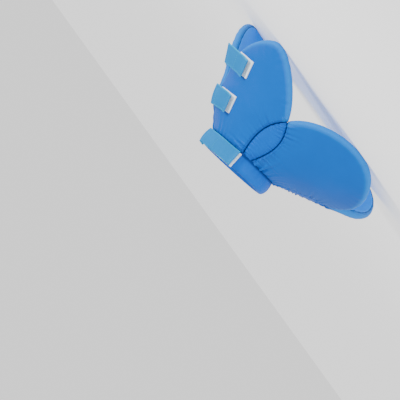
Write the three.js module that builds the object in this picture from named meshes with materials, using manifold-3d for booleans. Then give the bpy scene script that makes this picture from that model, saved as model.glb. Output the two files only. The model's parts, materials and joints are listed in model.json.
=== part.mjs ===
// A soft padded elizabethan collar for a dog. Four stuffed petals stand on their tips around the neck
// opening, three lens-shaped gussets join them, and three hook-and-loop straps close the slit at the nape.
// Millimetres, +Z up, angles in degrees. +X is the nape, and -Y is the wearer's right.
// A point of the outer skin has two coordinates: the bearing round the neck seam, and the reach, which is
// its distance from the neck seam along a straight line that slants down and outwards.

import * as THREE from 'three';
import { mergeVertices } from 'three/addons/utils/BufferGeometryUtils.js';
import Module from 'manifold-3d';

// Neck seam: a circle, tilted so that the nape side is higher. Shapes are worked out round its centre.
const neckRadius = 50;
const seamTilt = 11.4;

// Where the seam's centre is when the collar stands level on its four petal tips, and the last small
// turns, about X and Y, that bring the tips level.
const seamCentre = { x: 18.1, y: -1.85, z: 115.05 };
const levelTurn = { x: 2.48, y: -0.15 };

// The slant of the skin from the vertical, and how far its lines swing round from the radial direction.
const slant = { mean: 44.5, cos1: -8.7, cos2: 6.7, sin1: -1.2, sin2: -1.3, sin4: 0 };
const swing = { mean: 9.7, cos1: -14, cos2: -5.3, sin1: 5.3, sin2: -0.6, sin4: 6.9 };

// The left nape petal flares a little more than the others. Angles, round the bearing of its middle.
const flare = { bearing: 52, spread: 24, lean: 6 };

// Round the neck: four petals and three gussets between them. The slit is at the nape.
const gussetArc = 16.5;
const petalArc = (360 - 3 * gussetArc) / 4;
const slitBearing = 3.7;
const slitHalfGap = 1;
const gussetReach = 79;
const gussetBow = 25.3;
const slitReach = 50;
const petalReach = { nape_right: 150.5, throat_right: 146.9, throat_left: 163.1, nape_left: 165.1 };
const lobePower = 2;
const lobeFullness = 1.1;

// The closed edges of the two nape petals push each other outwards into a ridge.
const ridgeHeight = 6;
const ridgeReach = 80;
const ridgeHalfArc = 40;

// Layers, as depths below the outer skin.
const petalThickness = 10;
const coverThickness = 1.2;
const liningThickness = 1;
const gussetDepth = 0.8;
const gussetThickness = 7;
const rimChamfer = 2.2;
const layerGap = 0.4;
const foamGap = 1.6;
const liningMargin = 0.7;
const seamGap = 0.3;

// Neck band: a stuffed roll above the neck seam, slit where the collar folds.
const bandHeight = 20;
const bandThickness = 9;
const bandSwell = 1.5;
const bandCorner = 5;
const foldSlit = { side: 5.6, throat: 2.4 };
const foldSlitRoot = 0.6;

// Straps: webbing from the left side over the slit, a hook patch under its free end, and a loop patch on
// the right side. Bearings run from the root, on the left, to the free end.
const webbingThickness = 1.5;
const patchThickness = 1;
const strapClearance = 1.5;
const freeEndLift = 2;
const liftLength = 8;
const straps = {
  upper_strap: { root: 24, free: -27, reach: 99, width: 25, patch: 13, onBand: false },
  lower_strap: { root: 27, free: -26, reach: 46, width: 25, patch: 20, onBand: false },
  neck_strap: { root: 30, free: -75, reach: -10.5, width: 21, patch: 36, onBand: true },
};

// Fineness of the meshes. Columns crowd together a little where the free edge of a petal turns steeply.
const edgeCrowding = 0.6;
const columns = 9;
const rows = 7;
const gussetColumns = 4;
const bandSteps = 7;
const strapSteps = 14;

const satinBlue = { color: 0x3a82cc, roughness: 0.62, metalness: 0 };
const liningBlue = { color: 0x5aaaf0, roughness: 0.66, metalness: 0 };
const bandBlue = { color: 0x4896ea, roughness: 0.7, metalness: 0 };
const foamWhite = { color: 0xf0efe6, roughness: 0.95, metalness: 0 };
const webbingTeal = { color: 0x46b8e2, roughness: 0.75, metalness: 0 };
const hookBlue = { color: 0x8fb8dc, roughness: 0.9, metalness: 0 };
const loopWhite = { color: 0xdcecf8, roughness: 0.92, metalness: 0 };

const collar = new THREE.Group();
const wasm = await Module();
wasm.setup();

const radians = THREE.MathUtils.degToRad;
const lerp = THREE.MathUtils.lerp;
const seamAxis = new THREE.Vector3(-Math.sin(radians(seamTilt)), 0, Math.cos(radians(seamTilt)));
const standing = new THREE.Matrix4()
  .makeRotationFromEuler(new THREE.Euler(radians(levelTurn.x), radians(levelTurn.y), 0))
  .setPosition(seamCentre.x, seamCentre.y, seamCentre.z);

function series(terms, bearing) {
  const a = radians(bearing);
  const even = terms.mean + terms.cos1 * Math.cos(a) + terms.cos2 * Math.cos(2 * a);
  return even + terms.sin1 * Math.sin(a) + terms.sin2 * Math.sin(2 * a) + terms.sin4 * Math.sin(4 * a);
}

function seamRadial(bearing) {
  const across = Math.cos(radians(bearing));
  const tilt = radians(seamTilt);
  return new THREE.Vector3(across * Math.cos(tilt), Math.sin(radians(bearing)), across * Math.sin(tilt));
}

function seamPoint(bearing) {
  return seamRadial(bearing).multiplyScalar(neckRadius);
}

// Bearings repeat every 360 degrees. This is the one nearest the slit.
function wrap(bearing) {
  return bearing - 360 * Math.round((bearing - slitBearing) / 360);
}

function skinLine(bearing) {
  const offset = (wrap(bearing) - flare.bearing) / flare.spread;
  const lean = radians(series(slant, bearing) + flare.lean * Math.exp(-(offset ** 2)));
  const heading = radians(bearing + series(swing, bearing));
  return new THREE.Vector3(
    Math.sin(lean) * Math.cos(heading),
    Math.sin(lean) * Math.sin(heading),
    -Math.cos(lean),
  );
}

function ruledPoint(bearing, reach) {
  return skinLine(bearing).multiplyScalar(reach).add(seamPoint(bearing));
}

// Outward normal of a surface given by bearing and reach.
function outwardNormal(surface, bearing, reach) {
  const step = 0.2;
  const around = surface(bearing + step, reach).sub(surface(bearing - step, reach));
  const along = surface(bearing, reach + step).sub(surface(bearing, reach - step));
  return along.cross(around).normalize();
}

function ridge(bearing, reach) {
  const turn = Math.abs(bearing - slitBearing) / ridgeHalfArc;
  if (turn >= 1 || reach <= 0 || reach >= ridgeReach) {
    return 0;
  }
  const across = Math.cos((turn * Math.PI) / 2) ** 2;
  return ridgeHeight * across * Math.sin((Math.PI * reach) / ridgeReach) ** 2;
}

// Outer skin of the petals and gussets.
function skinPoint(bearing, reach) {
  const wrapped = wrap(bearing);
  const rise = ridge(wrapped, reach);
  return outwardNormal(ruledPoint, wrapped, reach).multiplyScalar(rise).add(ruledPoint(wrapped, reach));
}

// Outer face of the neck band. Its reach is negative, because it rises from the seam.
function bandPoint(bearing, reach) {
  const swell = bandSwell * Math.sin(Math.PI * THREE.MathUtils.clamp(-reach / bandHeight, 0, 1));
  const foot = seamPoint(bearing).add(seamRadial(bearing).multiplyScalar(swell));
  return foot.addScaledVector(seamAxis, -reach);
}

// A sheet is a grid of skin points with their normals: sheet[column][row].
function makeSheet(surface, countAcross, countAlong, place) {
  const sheet = [];
  for (let i = 0; i <= countAcross; i++) {
    sheet.push([]);
    for (let j = 0; j <= countAlong; j++) {
      const { bearing, reach } = place(i / countAcross, j / countAlong);
      const normal = outwardNormal(surface, bearing, reach);
      sheet[i].push({ point: surface(bearing, reach), normal });
    }
  }
  return sheet;
}

// The border of a sheet, as grid indices in order round it.
function borderOf(sheet) {
  const lastColumn = sheet.length - 1;
  const lastRow = sheet[0].length - 1;
  const border = [];
  for (let i = 0; i < lastColumn; i++) border.push([i, 0]);
  for (let j = 0; j < lastRow; j++) border.push([lastColumn, j]);
  for (let i = lastColumn; i > 0; i--) border.push([i, lastRow]);
  for (let j = lastRow; j > 0; j--) border.push([0, j]);
  return border;
}

// How a border point moves inwards, within the sheet, when the sheet shrinks by one millimetre.
function shrinkDirection(sheet, border, index) {
  const cell = ([i, j]) => sheet[i][j];
  const count = border.length;
  const here = cell(border[index]);
  const before = cell(border[(index + count - 1) % count]).point;
  const after = cell(border[(index + 1) % count]).point;
  const inFirst = here.normal.clone().cross(here.point.clone().sub(before)).normalize();
  const inSecond = here.normal.clone().cross(after.clone().sub(here.point)).normalize();
  const mitre = 1 / (1 + Math.max(inFirst.dot(inSecond), -0.4));
  return inFirst.add(inSecond).multiplyScalar(mitre);
}

// One layer of a sheet: every point at a depth below the skin, with the border moved inwards by inset.
function layerPoints(sheet, depth, inset) {
  const points = sheet.map((column) => column.map((c) => c.point.clone().addScaledVector(c.normal, -depth)));
  const border = borderOf(sheet);
  border.forEach(([i, j], index) => {
    points[i][j].addScaledVector(shrinkDirection(sheet, border, index), inset);
  });
  return points;
}

function addTriangle(list, a, b, c) {
  list.push(a.x, a.y, a.z, b.x, b.y, b.z, c.x, c.y, c.z);
}

function addQuad(list, a, b, c, d) {
  addTriangle(list, a, b, c);
  addTriangle(list, a, c, d);
}

function addGrid(list, points, outwards) {
  for (let i = 0; i + 1 < points.length; i++) {
    for (let j = 0; j + 1 < points[0].length; j++) {
      const [a, b, c, d] = [points[i][j], points[i + 1][j], points[i + 1][j + 1], points[i][j + 1]];
      if (outwards) addQuad(list, a, b, c, d);
      else addQuad(list, a, d, c, b);
    }
  }
}

// A solid from a stack of layers: the first and last are whole faces, the rest only shape the rim.
function stackSolid(sheet, profile) {
  const list = [];
  const layers = profile.map(([depth, inset]) => layerPoints(sheet, depth, inset));
  const border = borderOf(sheet);
  addGrid(list, layers[0], true);
  addGrid(list, layers[layers.length - 1], false);
  for (let k = 0; k + 1 < layers.length; k++) {
    border.forEach(([i, j], index) => {
      const [m, n] = border[(index + 1) % border.length];
      const [a, b, c, d] = [layers[k][m][n], layers[k][i][j], layers[k + 1][i][j], layers[k + 1][m][n]];
      if (profile[k + 1][0] >= profile[k][0]) addQuad(list, a, b, c, d);
      else addQuad(list, b, c, d, a);
    });
  }
  return solidGeometry(list);
}

function solidGeometry(list) {
  const geometry = new THREE.BufferGeometry();
  geometry.setAttribute('position', new THREE.Float32BufferAttribute(list, 3));
  return mergeVertices(geometry.applyMatrix4(standing), 1e-4);
}

function addPiece(name, geometry, look) {
  const mesh = new THREE.Mesh(geometry, new THREE.MeshStandardMaterial(look));
  mesh.name = name;
  collar.add(mesh);
}

// The tips of the petals are pressed flat where the collar stands on them.
function pressFlat(geometry) {
  const size = 600;
  const ground = new THREE.BoxGeometry(size, size, size);
  ground.translate(0, 0, -size / 2);
  const result = toManifold(geometry).subtract(toManifold(ground)).getMesh();
  const flat = new THREE.BufferGeometry();
  flat.setAttribute('position', new THREE.Float32BufferAttribute(result.vertProperties, 3));
  flat.setIndex(Array.from(result.triVerts));
  return flat;
}

function toManifold(geometry) {
  const bare = geometry.clone();
  bare.deleteAttribute('normal');
  bare.deleteAttribute('uv');
  const merged = mergeVertices(bare, 1e-4);
  const vertProperties = new Float32Array(merged.attributes.position.array);
  const triVerts = new Uint32Array(merged.index.array);
  return new wasm.Manifold(new wasm.Mesh({ numProp: 3, vertProperties, triVerts }));
}

// Gussets are lens shaped: half their width, as an angle, at a fraction of their length.
function gussetHalfArc(fraction) {
  return (gussetArc / 2) * (1 - fraction) + gussetBow * fraction * (1 - fraction);
}

const gussetCentre = {
  right: -petalArc - gussetArc / 2,
  throat: -2 * petalArc - 1.5 * gussetArc,
  left: -3 * petalArc - 2.5 * gussetArc,
};

// Each petal runs from its first side to its second. A side is a gusset's centre line or the slit.
const petals = {
  nape_right: { first: 'slit', second: 'right' },
  throat_right: { first: 'right', second: 'throat' },
  throat_left: { first: 'throat', second: 'left' },
  nape_left: { first: 'left', second: 'slit' },
};

function sideBearing(side, isFirst, fraction) {
  const towardsPetal = isFirst ? -1 : 1;
  if (side === 'slit') {
    const gap = THREE.MathUtils.radToDeg(slitHalfGap / neckRadius);
    return (isFirst ? slitBearing : slitBearing - 360) + towardsPetal * gap;
  }
  return gussetCentre[side] + towardsPetal * gussetHalfArc(fraction);
}

// The free edge is a round lobe between the two sides.
function edgeReach(petal, name, across) {
  const start = petal.first === 'slit' ? slitReach : gussetReach;
  const end = petal.second === 'slit' ? slitReach : gussetReach;
  const base = lerp(start, end, across);
  const lobe = (1 - Math.abs(2 * across - 1) ** lobePower) ** (1 / lobeFullness);
  return lerp(base, petalReach[name], lobe);
}

function petalSheet(name) {
  const petal = petals[name];
  return makeSheet(skinPoint, columns, rows, (u, v) => {
    const across = lerp(u, (1 - Math.cos(Math.PI * u)) / 2, edgeCrowding * v);
    const from = sideBearing(petal.first, true, v);
    const to = sideBearing(petal.second, false, v);
    return { bearing: lerp(from, to, across), reach: v * edgeReach(petal, name, across) };
  });
}

// The cover wraps the edge and ends in a lip round the lining. The foam fills it.
const foamTop = coverThickness + foamGap;
const foamBottom = petalThickness - liningThickness - foamGap;
const liningTop = petalThickness - liningThickness;
const coverProfile = [
  [0, seamGap + rimChamfer],
  [rimChamfer, seamGap],
  [petalThickness - rimChamfer, seamGap],
  [petalThickness, seamGap + rimChamfer],
  [petalThickness, seamGap + rimChamfer + coverThickness],
  [petalThickness - coverThickness, seamGap + rimChamfer + coverThickness],
  [petalThickness - rimChamfer - coverThickness / 2, seamGap + coverThickness],
  [rimChamfer + coverThickness / 2, seamGap + coverThickness],
  [coverThickness, seamGap + rimChamfer + coverThickness / 2],
];
const foamProfile = [
  [foamTop, coverProfile[8][1] + foamGap],
  [rimChamfer + coverThickness / 2 + layerGap, seamGap + coverThickness + foamGap],
  [petalThickness - rimChamfer - coverThickness / 2 - layerGap, seamGap + coverThickness + foamGap],
  [foamBottom, coverProfile[5][1] + foamGap],
];
const petalLiningProfile = [
  [liningTop, coverProfile[4][1] + liningMargin],
  [petalThickness, coverProfile[4][1] + liningMargin],
];

function addPetal(name) {
  const sheet = petalSheet(name);
  addPiece(`${name}_cover`, pressFlat(stackSolid(sheet, coverProfile)), satinBlue);
  addPiece(`${name}_foam`, stackSolid(sheet, foamProfile), foamWhite);
  addPiece(`${name}_lining`, stackSolid(sheet, petalLiningProfile), liningBlue);
}

// A gusset stops just short of the notch, where its two seams meet.
const gussetTip = 0.8;

function gussetSheet(centre) {
  const lastRow = (rows - 1) / rows;
  return makeSheet(skinPoint, gussetColumns, rows, (u, v) => {
    const inTip = v > lastRow + 1e-6;
    const fraction = inTip ? lerp(lastRow, 1, gussetTip) : v;
    const half = inTip ? lerp(gussetHalfArc(lastRow), 0, gussetTip) : gussetHalfArc(v);
    return { bearing: centre + half * (1 - 2 * u), reach: fraction * gussetReach };
  });
}

function addGusset(name) {
  const sheet = gussetSheet(gussetCentre[name]);
  const panelEnd = gussetDepth + coverThickness;
  const liningStart = gussetDepth + gussetThickness - liningThickness;
  const inset = seamGap + layerGap;
  const panel = [[gussetDepth, inset], [panelEnd, seamGap]];
  const wadding = [[panelEnd + layerGap, inset], [liningStart - layerGap, inset]];
  const lining = [[liningStart, seamGap], [liningStart + liningThickness, inset]];
  addPiece(`${name}_gusset_panel`, stackSolid(sheet, panel), satinBlue);
  addPiece(`${name}_gusset_wadding`, stackSolid(sheet, wadding), foamWhite);
  addPiece(`${name}_gusset_lining`, stackSolid(sheet, lining), liningBlue);
}

// Section of the neck band: depth below its face, and height above the seam. It is a fabric channel,
// open at the seam, with a foam roll in it.
function bandSection(inset) {
  const low = 0.6;
  const top = bandHeight - inset;
  const back = bandThickness - inset;
  return [
    [inset, low],
    [inset, top - bandCorner],
    [bandCorner / 2, top],
    [bandThickness - bandCorner / 2, top],
    [back, top - bandCorner],
    [back, low],
  ];
}

function slitArc(side, height) {
  if (side === 'slit') {
    return THREE.MathUtils.radToDeg(slitHalfGap / neckRadius);
  }
  const widest = side === 'throat' ? foldSlit.throat : foldSlit.side;
  return lerp(foldSlitRoot, widest, height / bandHeight);
}

function bandBearing(petal, height, across) {
  const centre = { ...gussetCentre, slit: slitBearing };
  const from = centre[petal.first] - slitArc(petal.first, height);
  const lap = petal.second === 'slit' ? -360 : 0;
  const to = centre[petal.second] + lap + slitArc(petal.second, height);
  return lerp(from, to, across);
}

function sweepBand(petal, section) {
  const rings = [];
  for (let k = 0; k <= bandSteps; k++) {
    rings.push(section.map(([depth, height]) => {
      const bearing = bandBearing(petal, height, k / bandSteps);
      return bandPoint(bearing, -height).addScaledVector(seamRadial(bearing), -depth);
    }));
  }
  return sweepSolid(rings, section);
}

// A solid from closed rings of points, with its two ends filled. The section lists the ring's shape.
function sweepSolid(rings, section) {
  const list = [];
  const count = section.length;
  for (let k = 0; k + 1 < rings.length; k++) {
    for (let n = 0; n < count; n++) {
      const m = (n + 1) % count;
      addQuad(list, rings[k][n], rings[k][m], rings[k + 1][m], rings[k + 1][n]);
    }
  }
  const outline = section.map(([x, y]) => new THREE.Vector2(x, y));
  const last = rings[rings.length - 1];
  for (const [a, b, c] of THREE.ShapeUtils.triangulateShape(outline, [])) {
    const [p, q, r] = THREE.ShapeUtils.area([outline[a], outline[b], outline[c]]) > 0 ? [a, b, c] : [a, c, b];
    addTriangle(list, rings[0][p], rings[0][q], rings[0][r]);
    addTriangle(list, last[p], last[r], last[q]);
  }
  return solidGeometry(list);
}

function addBand(name) {
  const outer = bandSection(0);
  const inner = bandSection(coverThickness).reverse();
  const channel = [...outer, ...inner];
  addPiece(`neck_band_${name}`, sweepBand(petals[name], channel), bandBlue);
  const roll = bandSection(coverThickness + layerGap);
  addPiece(`neck_roll_${name}`, sweepBand(petals[name], roll), foamWhite);
}

// Height of a strap's underside above the skin: low at its root, and over both patches past the slit.
function strapRise(strap, bearing) {
  const climb = THREE.MathUtils.smoothstep(slitBearing + liftLength - bearing, 0, 1.5 * liftLength);
  const curl = THREE.MathUtils.smoothstep(strap.free + liftLength - bearing, 0, liftLength);
  return strapClearance + climb * 2 * (patchThickness + layerGap) + curl * freeEndLift;
}

function strapSheet(strap, from, to, width, steps) {
  const surface = strap.onBand ? bandPoint : skinPoint;
  return makeSheet(surface, steps, 2, (u, v) => {
    return { bearing: lerp(from, to, u), reach: strap.reach + (v - 0.5) * width };
  });
}

function ribbonSolid(sheet, lowAt, thickness) {
  const lifted = sheet.map((column, i) => column.map((c) => {
    const point = c.point.clone().addScaledVector(c.normal, lowAt(i / (sheet.length - 1)) + thickness);
    return { point, normal: c.normal };
  }));
  return stackSolid(lifted, [[0, 0], [thickness, 0]]);
}

function addStrap(name, strap) {
  const whole = strapSheet(strap, strap.root, strap.free, strap.width, strapSteps);
  const rise = (t) => strapRise(strap, lerp(strap.root, strap.free, t));
  addPiece(`${name}_webbing`, ribbonSolid(whole, rise, webbingThickness), webbingTeal);
  const hookFrom = strap.free + strap.patch;
  const hook = strapSheet(strap, hookFrom, strap.free + 1, strap.width - 2, strapSteps / 2);
  const under = (t) => strapRise(strap, lerp(hookFrom, strap.free + 1, t)) - patchThickness - layerGap;
  addPiece(`${name}_hook_patch`, ribbonSolid(hook, under, patchThickness), hookBlue);
  const loopTo = strap.free - 3;
  const loop = strapSheet(strap, hookFrom, loopTo, strap.width, strapSteps / 2);
  addPiece(`${name}_loop_patch`, ribbonSolid(loop, () => strapClearance, patchThickness), loopWhite);
}

for (const name of Object.keys(petals)) addPetal(name);
for (const name of Object.keys(gussetCentre)) addGusset(name);
for (const name of Object.keys(petals)) addBand(name);
for (const [name, strap] of Object.entries(straps)) addStrap(name, strap);

export default collar;
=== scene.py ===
"""Elizabethan collar of padded satin: petals, gussets, neck band and three hook-and-loop straps.

Shapes are worked out in millimetres round the centre of the neck seam, then stood level and turned
into metres. A point of the outer skin has a bearing round the neck seam, in degrees, and a reach,
its distance from the seam along the skin.
"""

import json
import math

import bpy
import numpy as np
from mathutils import Matrix, Vector


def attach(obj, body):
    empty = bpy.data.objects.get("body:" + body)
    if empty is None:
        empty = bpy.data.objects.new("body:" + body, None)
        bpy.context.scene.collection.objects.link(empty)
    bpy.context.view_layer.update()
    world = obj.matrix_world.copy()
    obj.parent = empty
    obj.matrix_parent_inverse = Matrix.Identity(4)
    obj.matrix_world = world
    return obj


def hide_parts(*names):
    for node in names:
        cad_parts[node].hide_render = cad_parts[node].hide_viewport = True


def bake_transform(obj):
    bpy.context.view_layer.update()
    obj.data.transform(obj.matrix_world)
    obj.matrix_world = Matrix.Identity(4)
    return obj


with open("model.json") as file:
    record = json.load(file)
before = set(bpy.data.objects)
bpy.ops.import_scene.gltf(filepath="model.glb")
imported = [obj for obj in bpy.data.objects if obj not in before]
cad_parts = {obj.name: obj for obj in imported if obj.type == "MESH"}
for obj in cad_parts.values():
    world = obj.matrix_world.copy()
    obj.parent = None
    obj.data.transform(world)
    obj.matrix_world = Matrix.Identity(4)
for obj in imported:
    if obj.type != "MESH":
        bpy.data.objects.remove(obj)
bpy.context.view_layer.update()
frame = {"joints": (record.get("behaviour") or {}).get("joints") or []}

# ---- driving sizes, as in the CAD part
NECK_RADIUS = 50.0
SEAM_TILT = 11.4
SEAM_CENTRE = np.array([18.1, -1.85, 115.05])
LEVEL_TURN = (2.48, -0.15)
SLANT = {"mean": 44.5, "cos1": -8.7, "cos2": 6.7, "sin1": -1.2, "sin2": -1.3, "sin4": 0.0}
SWING = {"mean": 9.7, "cos1": -14.0, "cos2": -5.3, "sin1": 5.3, "sin2": -0.6, "sin4": 6.9}
FLARE = {"bearing": 52.0, "spread": 24.0, "lean": 6.0}
GUSSET_ARC = 16.5
PETAL_ARC = (360 - 3 * GUSSET_ARC) / 4
SLIT_BEARING = 3.7
SLIT_HALF_GAP = 1.0
GUSSET_REACH = 79.0
GUSSET_BOW = 25.3
SLIT_REACH = 50.0
PETAL_REACH = {"nape_right": 150.5, "throat_right": 146.9, "throat_left": 163.1, "nape_left": 165.1}
LOBE_FULLNESS = 1.1
RIDGE_HEIGHT = 6.0
RIDGE_REACH = 80.0
RIDGE_HALF_ARC = 40.0
PETAL_THICKNESS = 10.0
GUSSET_DEPTH = 0.8
GUSSET_THICKNESS = 7.0
BAND_HEIGHT = 20.0
BAND_THICKNESS = 9.0
BAND_SWELL = 1.5

GUSSET_CENTRE = {
    "right": -PETAL_ARC - GUSSET_ARC / 2,
    "throat": -2 * PETAL_ARC - 1.5 * GUSSET_ARC,
    "left": -3 * PETAL_ARC - 2.5 * GUSSET_ARC,
}
PETALS = {
    "nape_right": ("slit", "right"),
    "throat_right": ("right", "throat"),
    "throat_left": ("throat", "left"),
    "nape_left": ("left", "slit"),
}
# Root and free are the bearings of a strap's two ends, patch is how far round the hook tape goes, and
# reach and width are in millimetres.
STRAPS = {
    "upper_strap": {"root": 24, "free": -27, "reach": 99, "width": 25, "patch": 13, "on_band": False},
    "lower_strap": {"root": 27, "free": -26, "reach": 46, "width": 25, "patch": 20, "on_band": False},
    "neck_strap": {"root": 30, "free": -75, "reach": -10.5, "width": 21, "patch": 36, "on_band": True},
}


# ---- the skin and the band as surfaces
PROBE_STEP = 0.2


def unit(v):
    return v / np.maximum(np.linalg.norm(v, axis=-1, keepdims=True), 1e-9)


def smooth(t):
    t = np.clip(t, 0, 1)
    return t * t * (3 - 2 * t)


def bell(distance, width):
    """One at no distance, falling away smoothly over a width."""
    return np.exp(-((distance / width) ** 2))


def series(terms, bearing):
    """A smooth periodic angle, in degrees, from its mean and a few waves round the neck."""
    a = np.radians(bearing)
    total = terms["mean"] + terms["cos1"] * np.cos(a) + terms["cos2"] * np.cos(2 * a)
    total = total + terms["sin1"] * np.sin(a) + terms["sin2"] * np.sin(2 * a)
    return total + terms["sin4"] * np.sin(4 * a)


def seam_radial(bearing):
    """The direction from the seam's centre to a bearing on the seam, which is tilted."""
    a = np.radians(bearing)
    tilt = math.radians(SEAM_TILT)
    return np.stack([np.cos(a) * math.cos(tilt), np.sin(a), np.cos(a) * math.sin(tilt)], axis=-1)


SEAM_AXIS = np.array([-math.sin(math.radians(SEAM_TILT)), 0, math.cos(math.radians(SEAM_TILT))])


def wrap(bearing):
    """Bearings repeat every 360 degrees. This is the one nearest the slit."""
    return bearing - 360 * np.round((bearing - SLIT_BEARING) / 360)


def skin_line(bearing):
    """The direction in which the skin runs down from the seam."""
    flare = FLARE["lean"] * bell(wrap(bearing) - FLARE["bearing"], FLARE["spread"])
    lean = np.radians(series(SLANT, bearing) + flare)
    heading = np.radians(bearing + series(SWING, bearing))
    flat = np.sin(lean)
    return np.stack([flat * np.cos(heading), flat * np.sin(heading), -np.cos(lean)], axis=-1)


def ruled(bearing, reach):
    """The skin before the ridge at the slit is raised."""
    return NECK_RADIUS * seam_radial(bearing) + skin_line(bearing) * np.asarray(reach)[..., None]


def outward(surface, bearing, reach):
    """A surface's outward normal, from points a little to each side."""
    around = surface(bearing + PROBE_STEP, reach) - surface(bearing - PROBE_STEP, reach)
    along = surface(bearing, reach + PROBE_STEP) - surface(bearing, reach - PROBE_STEP)
    return unit(np.cross(along, around))


def skin(bearing, reach):
    """The collar's outer skin, with a ridge where the two nape petals meet."""
    bearing, reach = np.broadcast_arrays(np.asarray(bearing, float), np.asarray(reach, float))
    wrapped = wrap(bearing)
    turn = np.clip(np.abs(wrapped - SLIT_BEARING) / RIDGE_HALF_ARC, 0, 1)
    along = np.clip(reach / RIDGE_REACH, 0, 1)
    rise = RIDGE_HEIGHT * np.cos(turn * math.pi / 2) ** 2 * np.sin(math.pi * along) ** 2
    return ruled(wrapped, reach) + outward(ruled, wrapped, reach) * rise[..., None]


def band_face(bearing, reach):
    """Outer face of the neck band. Its reach is negative, because it rises from the seam."""
    bearing, reach = np.broadcast_arrays(np.asarray(bearing, float), np.asarray(reach, float))
    swell = BAND_SWELL * np.sin(math.pi * np.clip(-reach / BAND_HEIGHT, 0, 1))
    return seam_radial(bearing) * (NECK_RADIUS + swell)[..., None] - SEAM_AXIS * reach[..., None]


def turn_about(axis, degrees):
    return np.array(Matrix.Rotation(math.radians(degrees), 3, axis))


LEVEL = turn_about("X", LEVEL_TURN[0]) @ turn_about("Y", LEVEL_TURN[1])


def standing(points):
    """Millimetres round the seam's centre to metres in the row frame."""
    return (np.asarray(points) @ LEVEL.T + SEAM_CENTRE) / 1000


# ---- seeded smooth noise
GATHER_WAVES = 6
GATHER_SPREAD = (0.7, 1.6)
GATHER_SCALE = 2.6
GATHER_SWELL = 0.35
GATHER_SWELL_PERIOD = 7
UNDULATION_WAVES = 8
UNDULATION_SPREAD = (0.7, 1.7)
UNDULATION_SCALE = 3.0


def gathers(position, wavelength, seed):
    """Irregular ripples along a line, between about -1 and 1. Wavelength in millimetres."""
    rng = np.random.default_rng(seed)
    total = np.zeros_like(position)
    for _ in range(GATHER_WAVES):
        length = wavelength * rng.uniform(*GATHER_SPREAD)
        total += np.sin(2 * math.pi * position / length + rng.uniform(0, 2 * math.pi))
    slow = 2 * math.pi * position / (GATHER_SWELL_PERIOD * wavelength) + rng.uniform(0, 6)
    swell = 1 - GATHER_SWELL + GATHER_SWELL * np.sin(slow)
    return total / GATHER_SCALE * swell


def undulation(points, wavelength, seed):
    """Slow unevenness over a surface, between about -1 and 1."""
    rng = np.random.default_rng(seed)
    total = np.zeros(points.shape[:-1])
    for _ in range(UNDULATION_WAVES):
        heading = unit(rng.normal(size=3)) * 2 * math.pi
        direction = heading / (wavelength * rng.uniform(*UNDULATION_SPREAD))
        total += np.sin(points @ direction + rng.uniform(0, 2 * math.pi))
    return total / UNDULATION_SCALE


# ---- padded regions of the skin
# How far a petal's grid lines crowd to its sides at the tip, and a gusset's share before its point.
TIP_CROWDING = 0.6
GUSSET_TIP = 0.985


def gusset_half_arc(fraction):
    """Half a gusset's width in degrees, at a share of its length."""
    return GUSSET_ARC / 2 * (1 - fraction) + GUSSET_BOW * fraction * (1 - fraction)


def side_bearing(side, is_first, fraction):
    """Where a petal's side lies, at a share of that side's length."""
    towards_petal = -1 if is_first else 1
    if side == "slit":
        gap = math.degrees(SLIT_HALF_GAP / NECK_RADIUS)
        lap = 0 if is_first else -360
        return SLIT_BEARING + lap + towards_petal * gap + 0 * fraction
    return GUSSET_CENTRE[side] + towards_petal * gusset_half_arc(fraction)


def petal_place(name):
    """A function from a petal's grid to bearing and reach."""
    first, second = PETALS[name]
    start = SLIT_REACH if first == "slit" else GUSSET_REACH
    end = SLIT_REACH if second == "slit" else GUSSET_REACH

    def place(u, v):
        across = u + ((1 - np.cos(math.pi * u)) / 2 - u) * TIP_CROWDING * v
        base = start + (end - start) * across
        lobe = np.clip(1 - (2 * across - 1) ** 2, 0, 1) ** (1 / LOBE_FULLNESS)
        edge = base + (PETAL_REACH[name] - base) * lobe
        left = side_bearing(first, True, v)
        right = side_bearing(second, False, v)
        return left + (right - left) * across, v * edge

    return place


def gusset_place(name):
    """A function from a gusset's grid to bearing and reach."""

    def place(u, v):
        fraction = v * GUSSET_TIP
        bearing = GUSSET_CENTRE[name] + gusset_half_arc(fraction) * (1 - 2 * u)
        return bearing, fraction * GUSSET_REACH

    return place


# The grid's four sides, as the coordinate that stays fixed on each.
SIDES = {"neck": (None, 0), "second": (1, None), "free": (None, 1), "first": (0, None)}
BORDER_STEPS = 360


def border_line(place, side):
    """Bearings and reaches along one side of a grid."""
    t = np.linspace(0, 1, BORDER_STEPS)
    u, v = (t if fixed is None else np.full_like(t, fixed) for fixed in SIDES[side])
    return place(u, v)


def nearest_on(line, points):
    """Distance to a polyline, and the position along it, for every point."""
    flat = points.reshape(-1, 3)
    squares = (flat**2).sum(1)[:, None] + (line**2).sum(1) - 2 * flat @ line.T
    near = np.argmin(squares, axis=1)
    steps = np.linalg.norm(np.diff(line, axis=0), axis=1)
    travelled = np.concatenate([[0], np.cumsum(steps)])
    best = np.sqrt(np.maximum(squares[np.arange(len(flat)), near], 0))
    place = travelled[near]
    for low in (np.clip(near - 1, 0, len(line) - 2), np.clip(near, 0, len(line) - 2)):
        edge = line[low + 1] - line[low]
        length = np.maximum((edge**2).sum(1), 1e-12)
        t = np.clip(((flat - line[low]) * edge).sum(1) / length, 0, 1)
        gap = np.linalg.norm(flat - line[low] - edge * t[:, None], axis=1)
        closer = gap < best
        best = np.where(closer, gap, best)
        place = np.where(closer, travelled[low] + t * steps[low], place)
    shape = points.shape[:-1]
    return best.reshape(shape), place.reshape(shape)


# The roundness of the rolled edges, how much a pucker wanders, how near a seam it dies away, and how
# long and how strong the slow unevenness is. Lengths in millimetres.
ROLL_POWER = 2.2
PUCKER_BEND = 0.5
PUCKER_START = 1.3
UNEVEN_LENGTH = 45
UNEVEN_SHARE = 0.4


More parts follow.
